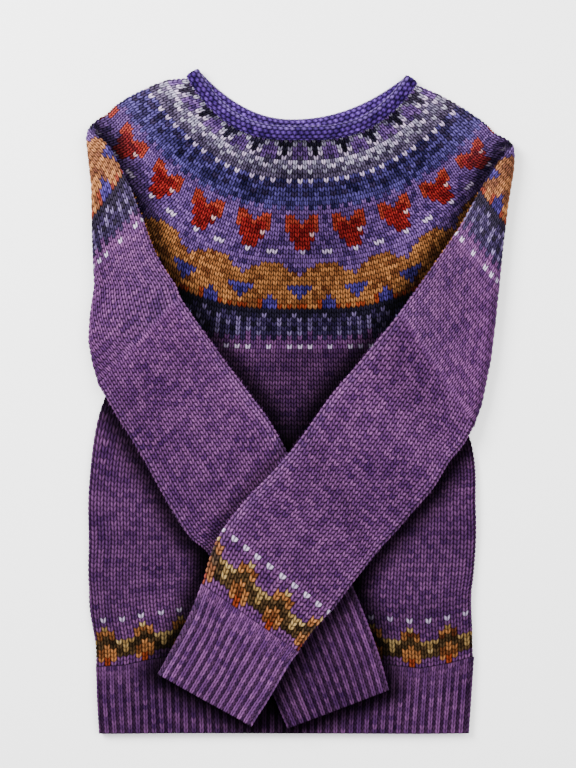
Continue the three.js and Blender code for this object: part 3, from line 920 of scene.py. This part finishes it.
class Wire:
    """A socket of a material, which Python's operators turn into Math nodes."""

    def __init__(self, shade, socket):
        self.shade = shade
        self.socket = socket

    def math(self, operation, *values):
        return self.shade.node("ShaderNodeMath", {"operation": operation}, dict(enumerate(values)))

    def __add__(self, other):
        return self.math("ADD", self, other)

    def __sub__(self, other):
        return self.math("SUBTRACT", self, other)

    def __rsub__(self, other):
        return self.math("SUBTRACT", other, self)

    def __mul__(self, other):
        return self.math("MULTIPLY", self, other)

    __radd__ = __add__
    __rmul__ = __mul__


class Shade:
    """Builds the nodes of one material."""

    def __init__(self, name):
        self.material = bpy.data.materials.new(name)
        self.material.use_nodes = True
        self.tree = self.material.node_tree
        self.shader = self.tree.nodes["Principled BSDF"]

    def node(self, kind, settings=None, sockets=None, output=0):
        node = self.tree.nodes.new(kind)
        for name, value in (settings or {}).items():
            setattr(node, name, value)
        self.fill(node, sockets or {})
        return Wire(self, node.outputs[output])

    def fill(self, node, sockets):
        for name, value in sockets.items():
            if isinstance(value, Wire):
                self.tree.links.new(value.socket, node.inputs[name])
            else:
                node.inputs[name].default_value = value


def wool_material():
    """Spun wool: the stitches' own colours, broken up by fibres and tufts."""
    if "wool" in bpy.data.materials:
        return bpy.data.materials["wool"]
    shade = Shade("wool")
    spot = shade.node("ShaderNodeTexCoord", output="Object")
    paint = shade.node("ShaderNodeAttribute", {"attribute_name": "wool"}, output="Color")
    fibres = shade.node("ShaderNodeTexNoise", {}, {"Vector": spot, "Scale": 1500.0, "Detail": 3.0})
    tufts = shade.node("ShaderNodeTexNoise", {}, {"Vector": spot, "Scale": 330.0, "Detail": 2.0})
    light = 0.1 + fibres * 0.85 + tufts * 0.6
    coloured = shade.node(
        "ShaderNodeMix",
        {"data_type": "RGBA", "blend_type": "MULTIPLY"},
        {"Factor": 1.0, 6: paint, 7: light},
        output=2,
    )
    bump = {"Strength": 0.5, "Distance": 0.5 * MM, "Height": fibres}
    shade.fill(
        shade.shader,
        {
            "Base Color": coloured,
            "Normal": shade.node("ShaderNodeBump", {}, bump),
            "Roughness": 0.92,
            "Specular IOR Level": 0.015,
            "Sheen Weight": 0.01,
            "Sheen Roughness": 0.5,
        },
    )
    return shade.material


def plain_material(name, colour, roughness):
    shade = Shade(name)
    shade.fill(shade.shader, {"Base Color": (*linear(colour), 1.0), "Roughness": roughness})
    return shade.material


def finished(mesh, spots, corners, shades, soft=None):
    """Puts the points and the colours on a mesh, and makes it an object of the scene."""
    mesh.vertices.foreach_set("co", spots.astype(np.float32).ravel())
    shades = np.concatenate([shades, np.ones(shades.shape[:2] + (1,))], -1)
    paint = mesh.color_attributes.new("wool", "FLOAT_COLOR", "CORNER")
    paint.data.foreach_set("color", np.clip(shades, 0, 1).astype(np.float32).ravel())
    soft = np.ones(len(mesh.polygons), bool) if soft is None else soft
    mesh.polygons.foreach_set("use_smooth", soft)
    if signed_volume(spots, corners) < 0:
        mesh.flip_normals()
    mesh.update()
    mesh.materials.append(wool_material())
    piece = bpy.data.objects.new(mesh.name, mesh)
    bpy.context.scene.collection.objects.link(piece)
    return piece


# The neckband, a roll of purl


def neck_line(arc, t):
    """A point of the neckband's middle line, and the way from it towards the body."""

    def spot(t):
        (left, left_down), (right, right_down) = NECK_CORNERS.values()
        middle, middle_down, bend = NECK_ARCS[arc]
        across = mix(left, right, t)
        corner = np.where(across < middle, left, right)
        corner_down = np.where(across < middle, left_down, right_down)
        turn = np.abs((across - middle) / (corner - middle)) ** bend
        return np.stack([across, mix(middle_down, corner_down, turn)], -1)

    way = spot(t + 0.004) - spot(t - 0.004)
    way /= np.linalg.norm(way, axis=1)[:, None]
    return spot(t), np.stack([-way[:, 1], way[:, 0]], -1)


def neckband_path():
    """The neckband's middle line all round: places, ways out, heights, and how it stands."""
    front, back = MIDDLE + LAYER + BAND_OVER_FRONT, BAND_HALF_HEIGHT
    middle, radius = (front + back) / 2, (front - back) / 2
    forward = np.linspace(0, 1, 120)
    angle = np.linspace(0, math.pi, EDGE_POINTS + 1)[1:-1]
    parts = []
    for arc, t, up in (("front", forward, 1.0), ("back", forward[::-1], -1.0)):
        spot, out = neck_line(arc, t)
        ones = np.ones(len(t))
        parts.append((spot, out, ones * (middle + radius * up), ones * up, ones * 0))
        corner, corner_out = neck_line("front", np.array([0.5 + 0.5 * up]))
        sideways = np.stack([corner_out[:, 1], -corner_out[:, 0]], -1)
        stand, lean = np.cos(angle) * up, np.sin(angle) * up
        turned = corner + sideways * radius * lean[:, None]
        outs = np.repeat(corner_out, len(angle), 0)
        parts.append((turned, outs, middle + radius * stand, stand, lean))
    return [np.concatenate(values) for values in zip(*parts)]


def neckband(stitches, rows, wool):
    """Knits the neckband as one closed roll."""
    columns, lines = stitches * COLUMNS, rows * LINES
    mesh, column, line = grid_mesh("neckband_roll", columns, lines)
    spot, out, height, up, lean = neckband_path()
    centre = place(spot[:, 0], spot[:, 1], height)
    length = length_along(np.concatenate([centre, centre[:1]]))
    at = column / columns * length[-1]

    def along(values):
        return np.interp(at, length, np.append(values, values[0]))

    out = np.stack([along(out[:, 0]), along(out[:, 1])], -1)
    out /= np.linalg.norm(out, axis=1)[:, None]
    up, lean = along(up), along(lean)
    wide = np.stack([out[:, 0], -out[:, 1], np.zeros(len(out))], -1)
    thick = np.stack([lean * out[:, 1], lean * out[:, 0], up], -1)
    row, stitch = line // LINES, column // COLUMNS
    a, b = (column % COLUMNS) / COLUMNS, (line % LINES) / LINES
    shift = 0.5 * (row % 2) + DASH_SLANT * (b - 0.5)
    dash = (0.5 + 0.5 * np.cos(TAU * (a + shift))) ** DASH_WIDTH
    bump = (0.5 - 0.5 * np.cos(TAU * b)) * dash * mix(LEAST_BUMP, 1.0, chance(stitch, row, 9))
    angle = line / lines * TAU
    squeeze = mix(1.0, BAND_SQUEEZE, np.abs(lean))
    swell = bump - BUMP_MIDDLE
    across = (BAND_WIDTH / 2 + swell) * np.cos(angle)
    rise = (BAND_HALF_HEIGHT * squeeze + swell) * np.sin(angle)
    middle = np.stack([along(centre[:, k]) for k in range(3)], -1)
    spots = middle + wide * across[:, None] + thick * rise[:, None]
    spots[:, 2] = np.maximum(spots[:, 2], 0.0)
    corners, low_column, low_line = face_cells(mesh, column, line, columns, lines)
    least, more, growth = BUMP_LIGHT
    light = (least + more * bump**growth)[corners]
    shades = painted(wool, light, low_column, low_line // LINES, stitches)
    return finished(mesh, spots * MM, corners, shades)


# The add-on


def row_property(name, where, height):
    return bpy.props.FloatProperty(
        name=name,
        description=f"Height of one row on {where}",
        default=height * MM,
        subtype="DISTANCE",
        unit="LENGTH",
    )


class JumperSizes(bpy.types.PropertyGroup):
    """How the jumper is knitted."""

    body_stitches: bpy.props.IntProperty(
        name="Body stitches", description="Stitches round the body", default=120, min=60
    )
    sleeve_stitches: bpy.props.IntProperty(
        name="Sleeve stitches", description="Stitches round a sleeve", default=42, min=20
    )
    row_height: row_property("Row height", "the body and the yoke", 4.45)
    sleeve_row_height: row_property("Sleeve row height", "the sleeves", 5.0)


def wool_key(shade, label):
    """The name of the property with a wool's light or dark shade."""
    return f"{shade}_{label.lower().replace(' ', '_')}"


def colour_property(label, shade, colour):
    return bpy.props.FloatVectorProperty(
        name=f"{label}, {shade}",
        description=f"The {shade} shade of the wool called {label.lower()}",
        default=screen(*colour),
        size=3,
        min=0.0,
        max=1.0,
        subtype="COLOR_GAMMA",
    )


class JumperColours(bpy.types.PropertyGroup):
    """The wools."""

    __annotations__ = {
        wool_key(shade, label): colour_property(label, shade, colour)
        for label, light, dark, _ in WOOLS.values()
        for shade, colour in (("light", light), ("dark", dark))
    }


def wool_colours():
    """Each wool's light and dark shade as amounts of light."""
    chosen = bpy.context.scene.jumper_colours
    return {
        letter: [linear(getattr(chosen, wool_key(shade, label))) for shade in ("light", "dark")]
        for letter, (label, *_) in WOOLS.items()
    }


def join_part(piece, *nodes, flat, area=None, rests_on=(), held="laid"):
    """Makes a piece stand for its nodes: hangs it on the root and hides them."""
    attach(piece, "root")
    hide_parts(*nodes)


# Stitches round the ribs, the zigzag bands of the sleeves and the neckband
HEM_STITCHES = 188
CUFF_STITCHES = 56
BAND_STITCHES = 36
NECKBAND_STITCHES = 88
NECKBAND_ROWS = 10
HEM_ROW = 4.6  # millimetres

# Tones and painted light and shade: share of the way round, reach as a share, and how light. With
# EVENLY as its reach a tone is nearly the same all round.
EVENLY = 9.0
BODY_TONES = ((0.25, EVENLY, 0.66),)
# Painted highlight: the sleeves and the yoke's flaps are painted lighter along their two edges.
SLEEVE_EDGE_HIGHLIGHTS = ((0.5, 0.07, 1.35), (0.0, 0.05, 1.2))
FLAP_EDGE_HIGHLIGHTS = ((0.0, 0.09, 1.38), (0.5, 0.09, 1.38))
# Painted shade on the middle of the chest between the crossed sleeves: how far round it reaches
CHEST_SHADE_REACH = 0.11
# How light each cuff is painted all round: the left cuff is in painted shade beside the right sleeve,
# the right a little lighter
CUFF_LIGHT = {"left": 0.6, "right": 1.06}
# Painted light: the back of the neckband is painted lighter than its front, and the front a little
# darker.
NECKBAND_LIGHT = ((0.75, 0.24, 1.45), (0.25, 0.24, 0.92))
BAND_STARTS = {"left": 0.802, "right": 0.822}  # shares of a sleeve's length


class JUMPER_OT_body(bpy.types.Operator):
    """Knits the plain body with its zigzag band, and the ribbed hem"""

    bl_idname = "jumper.body"
    bl_label = "Knit the body"

    def execute(self, context):
        sizes = context.scene.jumper_sizes
        colours = wool_colours()
        row = sizes.row_height / MM
        wool = Wool(colours, 1, BODY_ZIGZAG, centre=2, tones_and_light=BODY_TONES)
        tube = body_tube(BODY_ROUNDS, 60)
        body = Knitting("body_knit", tube, sizes.body_stitches, row, gap=BODY_GAP)
        piece = body.build(wool)
        join_part(piece, "body", flat=(0.776, 0.25), rests_on=["floor"])
        tube = body_tube(HEM_ROUNDS, 24)
        hem = Knitting("hem_knit", tube, HEM_STITCHES, HEM_ROW, True, RIB_GAP)
        piece = hem.build(Wool(colours, 2, tones_and_light=BODY_TONES), rise=RIB_RISE)
        join_part(piece, "hem_rib", flat=(0.752, 0.07), rests_on=["floor"])
        return {"FINISHED"}


# Zones of the yoke: name, lowest and highest round, stitches, chart, the stitch at its middle, and
# how light the middle of the chest is painted, a painted shade between the crossed sleeves.
YOKE_ZONES = (
    ("yoke_plain", 365.0, 284.0, 240, None, 0, 0.42),
    ("yoke_gold", 284.0, 193.5, 240, GOLD_BAND, 10, 0.66),
    ("yoke_hearts", 193.5, 136.0, 190, HEARTS, 48, 0.65),
    ("yoke_navy", 136.0, 95.0, 140, NAVY_BAND, 4, 0.7),
    ("yoke_checks", 95.0, 72.0, 120, CHECKS, 0, 0.52),
)


class JUMPER_OT_yoke(bpy.types.Operator):
    """Knits the round yoke, zone by zone, from the underarms to the neck"""

    bl_idname = "jumper.yoke"
    bl_label = "Knit the yoke"

    def execute(self, context):
        colours = wool_colours()
        row = context.scene.jumper_sizes.row_height / MM
        for number, (name, low, high, stitches, chart, centre, chest_shade) in enumerate(YOKE_ZONES):
            tube = yoke_tube(low, high, max(8, round((low - high) / 2)))
            rings = tube[0]
            knitting = Knitting(name, tube, stitches, row)
            # Painted highlight along the flaps' edges and painted shade on the middle of the chest
            tones_and_light = FLAP_EDGE_HIGHLIGHTS + ((0.25, CHEST_SHADE_REACH, chest_shade),)
            piece = knitting.build(Wool(colours, 10 + number, chart, centre, tones_and_light=tones_and_light))
            around = [ring_length(rings[0]) * MM, ring_length(rings[-1]) * MM]
            high_side = ring_height(rings) * MM
            join_part(
                piece,
                "yoke_front",
                "yoke_back",
                flat=(max(around), high_side),
                area=sum(around) / 2 * high_side,
                rests_on=["floor"],
                held="folded",
            )
        return {"FINISHED"}


def ring_length(ring):
    return np.linalg.norm(np.diff(ring, axis=0, append=ring[:1]), axis=1).sum()


def ring_height(rings):
    """The way along a tube from its first ring to its last, the mean of all columns."""
    return np.linalg.norm(np.diff(rings, axis=0), axis=2).sum(0).mean()


def tube_size(tube):
    """The flat size of a tube: the way round its first ring, and its length."""
    rings, length = tube
    return ring_length(rings[0]) * MM, length * MM


class JUMPER_OT_sleeves(bpy.types.Operator):
    """Knits both sleeves with their zigzag bands and ribbed cuffs"""

    bl_idname = "jumper.sleeves"
    bl_label = "Knit the sleeves"

    def execute(self, context):
        sizes = context.scene.jumper_sizes
        colours = wool_colours()
        row = sizes.sleeve_row_height / MM
        for number, (side, band) in enumerate(BAND_STARTS.items()):
            below = ["yoke_plain", "body_knit"] + ["sleeve_knit_left"] * number
            plans = (
                ("sleeve_knit_", sizes.sleeve_stitches, 0.0, band, 60, None),
                ("sleeve_band_", BAND_STITCHES, band, 1.0, 20, SLEEVE_ZIGZAG),
            )
            for name, stitches, start, end, rings, chart in plans:
                tube = sleeve_tube(side, SLEEVE_SECTIONS[side], start, end, rings)
                wool = Wool(colours, 20 + number, chart, tones_and_light=SLEEVE_EDGE_HIGHLIGHTS)
                piece = Knitting(name + side, tube, stitches, row).build(wool, 0.0, SLEEVE_CORNER)
                flat = tube_size(tube)
                join_part(piece, "sleeve_" + side, flat=flat, rests_on=below, held="folded")
            tube = sleeve_tube(side, CUFF_SECTIONS[side], 0.0, 1.0, 40)
            # Painted edge highlights, and painted light or shade all round the cuff
            tones_and_light = SLEEVE_EDGE_HIGHLIGHTS + ((0.5, EVENLY, CUFF_LIGHT[side]),)
            wool = Wool(colours, 30 + number, tones_and_light=tones_and_light)
            cuff = Knitting("cuff_knit_" + side, tube, CUFF_STITCHES, row, True, RIB_GAP)
            piece = cuff.build(wool, RIB_RISE, CUFF_CORNER)
            join_part(piece, "cuff_" + side, flat=tube_size(tube), rests_on=below, held="laid")
        return {"FINISHED"}


class JUMPER_OT_neckband(bpy.types.Operator):
    """Knits the rolled neckband"""

    bl_idname = "jumper.neckband"
    bl_label = "Knit the neckband"

    def execute(self, context):
        wool = Wool(wool_colours(), 40, NECKBAND, plain="U", tones_and_light=NECKBAND_LIGHT)
        piece = neckband(NECKBAND_STITCHES, NECKBAND_ROWS, wool)
        join_part(piece, "neckband", flat=(0.51, 0.018), rests_on=["yoke_checks"])
        return {"FINISHED"}


CAMERA = (-12.15 * MM, 17.05 * MM, 1823 * MM)
FLOOR_COLOUR = (0.97, 0.97, 0.97)
LAMPS = (  # name, place in metres, size, power
    ("window", (-1.1, 0.9, 1.3), 1.0, 108.0),
    ("ceiling", (0.9, 0.4, 1.9), 1.6, 66.0),
)
ROOM_LIGHT = 1.22


class JUMPER_OT_stage(bpy.types.Operator):
    """Sets the floor, the lights and the camera"""

    bl_idname = "jumper.stage"
    bl_label = "Set the stage"

    def execute(self, context):
        bpy.ops.mesh.primitive_plane_add(size=8, location=(0, 0, -0.5 * MM))
        floor = context.object
        floor.name = "floor"
        floor.data.materials.append(plain_material("floor", FLOOR_COLOUR, 0.9))
        camera = bpy.data.objects.new("camera", bpy.data.cameras.new("camera"))
        context.collection.objects.link(camera)
        camera.data.lens = 85
        camera.data.sensor_width = 36
        camera.location = CAMERA
        context.scene.camera = camera
        for name, spot, size, energy in LAMPS:
            lamp = bpy.data.lights.new(name, "AREA")
            lamp.size = size
            lamp.energy = energy
            light = bpy.data.objects.new(name, lamp)
            light.location = spot
            light.rotation_euler = (-light.location).to_track_quat("-Z", "Y").to_euler()
            context.collection.objects.link(light)
        world = bpy.data.worlds.new("room")
        world.use_nodes = True
        background = world.node_tree.nodes["Background"]
        background.inputs["Color"].default_value = (1, 1, 1, 1)
        background.inputs["Strength"].default_value = ROOM_LIGHT
        context.scene.world = world
        return {"FINISHED"}


class JUMPER_PT_pieces(bpy.types.Panel):
    """Lists the jumper's pieces in the order they are knitted"""

    bl_label = "Jumper"
    bl_idname = "JUMPER_PT_pieces"
    bl_space_type = "VIEW_3D"
    bl_region_type = "UI"
    bl_category = "Jumper"

    def draw(self, context):
        for group in (context.scene.jumper_sizes, context.scene.jumper_colours):
            for name in group.__annotations__:
                self.layout.prop(group, name)
        for operator in PIECES:
            self.layout.operator(operator.bl_idname)


PIECES = (JUMPER_OT_body, JUMPER_OT_yoke, JUMPER_OT_sleeves, JUMPER_OT_neckband, JUMPER_OT_stage)
CLASSES = (JumperSizes, JumperColours, *PIECES, JUMPER_PT_pieces)


def register():
    for cls in CLASSES:
        bpy.utils.register_class(cls)
    bpy.types.Scene.jumper_sizes = bpy.props.PointerProperty(type=JumperSizes)
    bpy.types.Scene.jumper_colours = bpy.props.PointerProperty(type=JumperColours)


def unregister():
    del bpy.types.Scene.jumper_colours
    del bpy.types.Scene.jumper_sizes
    for cls in reversed(CLASSES):
        bpy.utils.unregister_class(cls)


def main():
    register()
    for step in ("body", "yoke", "sleeves", "neckband", "stage"):
        getattr(bpy.ops.jumper, step)()


if __name__ == "__main__":
    main()
